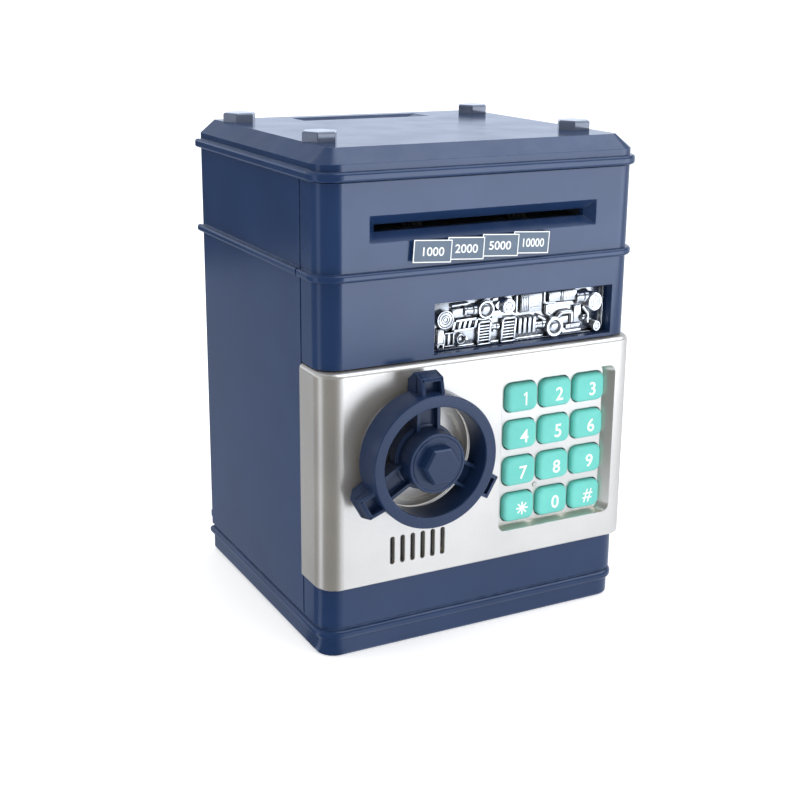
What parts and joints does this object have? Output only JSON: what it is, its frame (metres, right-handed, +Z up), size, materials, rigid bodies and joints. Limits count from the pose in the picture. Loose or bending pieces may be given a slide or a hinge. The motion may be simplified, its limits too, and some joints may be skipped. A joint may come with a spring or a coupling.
{
  "type": "toy cash machine savings bank",
  "caption": "Toy cash machine savings bank: square case with a hinged safe door, push-button keypad, handwheel latch, note feeder slot, coin slot and battery compartment.",
  "frame": {"origin": "centre of the base's underside, on the surface it stands on", "axes": "+X to the right of someone facing the keypad, +Y to the back, +Z up"},
  "size_m": [0.1332, 0.14, 0.1876],
  "materials": {
    "navy_plastic": "gloss",
    "silver_paint": "satin silver paint",
    "key_teal": "satin",
    "plated_relief": "bright plated",
    "bolt_plastic": "high gloss",
    "inner_plastic": "matt",
    "steel": "bright",
    "roller_rubber": "matt",
    "silicone": "matt",
    "gear_plastic": "satin",
    "circuit_board": "solder mask",
    "cell_wrap": "printed wrap",
    "lamp_lens": "clear"
  },
  "bodies": {
    "case": {"base": "navy_plastic", "battery_contacts": "steel", "batteries": "cell_wrap", "money_floor": "inner_plastic", "front_shell": "navy_plastic", "rear_shell": "navy_plastic", "base_screws": "steel", "frame_screws": "steel", "lid": "navy_plastic", "lid_bolts": "bolt_plastic", "coin_chute": "inner_plastic", "decor_panel": "plated_relief", "note_guide": "inner_plastic", "feed_motor": "steel", "main_board": "circuit_board", "strike_plate": "steel"},
    "door": {"door_panel": "silver_paint", "door_liner": "inner_plastic", "latch_cover": "inner_plastic", "door_screws": "steel", "hinge_pins": "steel", "keypad_membrane": "silicone", "keypad_board": "circuit_board", "keypad_lamp": "lamp_lens", "speaker": "inner_plastic", "lock_solenoid": "steel"},
    "wheel": {"handwheel": "navy_plastic", "wheel_cap": "navy_plastic", "wheel_shaft": "steel", "latch_pinion": "gear_plastic"},
    "latch": {"latch_bolt": "gear_plastic"},
    "plunger": {"lock_plunger": "steel"},
    "feed_roller": {"feed_shaft": "steel", "feed_rollers": "roller_rubber", "drive_gear": "gear_plastic"},
    "pinch_roller": {"pinch_shaft": "steel", "pinch_rollers": "roller_rubber"},
    "motor_rotor": {"motor_pinion": "gear_plastic", "motor_shaft": "steel"},
    "battery_door": {"battery_cover": "navy_plastic", "battery_cover_screws": "steel"},
    "button_1": {"key_1": "key_teal"},
    "button_2": {"key_2": "key_teal"},
    "button_3": {"key_3": "key_teal"},
    "button_4": {"key_4": "key_teal"},
    "button_5": {"key_5": "key_teal"},
    "button_6": {"key_6": "key_teal"},
    "button_7": {"key_7": "key_teal"},
    "button_8": {"key_8": "key_teal"},
    "button_9": {"key_9": "key_teal"},
    "button_star": {"key_star": "key_teal"},
    "button_0": {"key_0": "key_teal"},
    "button_hash": {"key_hash": "key_teal"}
  },
  "joints": [
    {"name": "door_hinge", "type": "hinge", "parent": "case", "child": "door", "pos_m": [0.0612, -0.0456, 0.0678], "axis": [0, 0, 1], "range_deg": [0, 100]},
    {"name": "wheel_turn", "type": "hinge", "parent": "door", "child": "wheel", "pos_m": [-0.0292, -0.06, 0.0763], "axis": [0, 1, 0], "range_deg": [0, 60]},
    {"name": "latch_slide", "type": "slide", "parent": "door", "child": "latch", "axis": [-1, 0, 0], "range_m": [0, 0.0063]},
    {"name": "plunger_slide", "type": "slide", "parent": "door", "child": "plunger", "axis": [0, 0, 1], "range_m": [0, 0.0032], "stiffness_N_per_m": 60},
    {"name": "feed_spin", "type": "hinge", "parent": "case", "child": "feed_roller", "pos_m": [0, -0.038, 0.15015], "axis": [1, 0, 0], "continuous": true},
    {"name": "pinch_spin", "type": "hinge", "parent": "case", "child": "pinch_roller", "pos_m": [0, -0.038, 0.1605], "axis": [1, 0, 0], "continuous": true},
    {"name": "motor_spin", "type": "hinge", "parent": "case", "child": "motor_rotor", "pos_m": [0.046, -0.02195, 0.15015], "axis": [1, 0, 0], "continuous": true},
    {"name": "battery_cover_drop", "type": "slide", "parent": "case", "child": "battery_door", "axis": [0, 0, -1], "range_m": [0, 0.025]},
    {"name": "press_1", "type": "slide", "parent": "door", "child": "button_1", "axis": [0, 1, 0], "range_m": [0, 0.0012], "stiffness_N_per_m": 600},
    {"name": "press_2", "type": "slide", "parent": "door", "child": "button_2", "axis": [0, 1, 0], "range_m": [0, 0.0012], "stiffness_N_per_m": 600},
    {"name": "press_3", "type": "slide", "parent": "door", "child": "button_3", "axis": [0, 1, 0], "range_m": [0, 0.0012], "stiffness_N_per_m": 600},
    {"name": "press_4", "type": "slide", "parent": "door", "child": "button_4", "axis": [0, 1, 0], "range_m": [0, 0.0012], "stiffness_N_per_m": 600},
    {"name": "press_5", "type": "slide", "parent": "door", "child": "button_5", "axis": [0, 1, 0], "range_m": [0, 0.0012], "stiffness_N_per_m": 600},
    {"name": "press_6", "type": "slide", "parent": "door", "child": "button_6", "axis": [0, 1, 0], "range_m": [0, 0.0012], "stiffness_N_per_m": 600},
    {"name": "press_7", "type": "slide", "parent": "door", "child": "button_7", "axis": [0, 1, 0], "range_m": [0, 0.0012], "stiffness_N_per_m": 600},
    {"name": "press_8", "type": "slide", "parent": "door", "child": "button_8", "axis": [0, 1, 0], "range_m": [0, 0.0012], "stiffness_N_per_m": 600},
    {"name": "press_9", "type": "slide", "parent": "door", "child": "button_9", "axis": [0, 1, 0], "range_m": [0, 0.0012], "stiffness_N_per_m": 600},
    {"name": "press_star", "type": "slide", "parent": "door", "child": "button_star", "axis": [0, 1, 0], "range_m": [0, 0.0012], "stiffness_N_per_m": 600},
    {"name": "press_0", "type": "slide", "parent": "door", "child": "button_0", "axis": [0, 1, 0], "range_m": [0, 0.0012], "stiffness_N_per_m": 600},
    {"name": "press_hash", "type": "slide", "parent": "door", "child": "button_hash", "axis": [0, 1, 0], "range_m": [0, 0.0012], "stiffness_N_per_m": 600}
  ],
  "couplings": [
    {"joint": "latch_slide", "follows": "wheel_turn", "m_per_rad": 0.006},
    {"joint": "pinch_spin", "follows": "feed_spin", "ratio": -1.5},
    {"joint": "motor_spin", "follows": "feed_spin", "ratio": -2.3333}
  ]
}
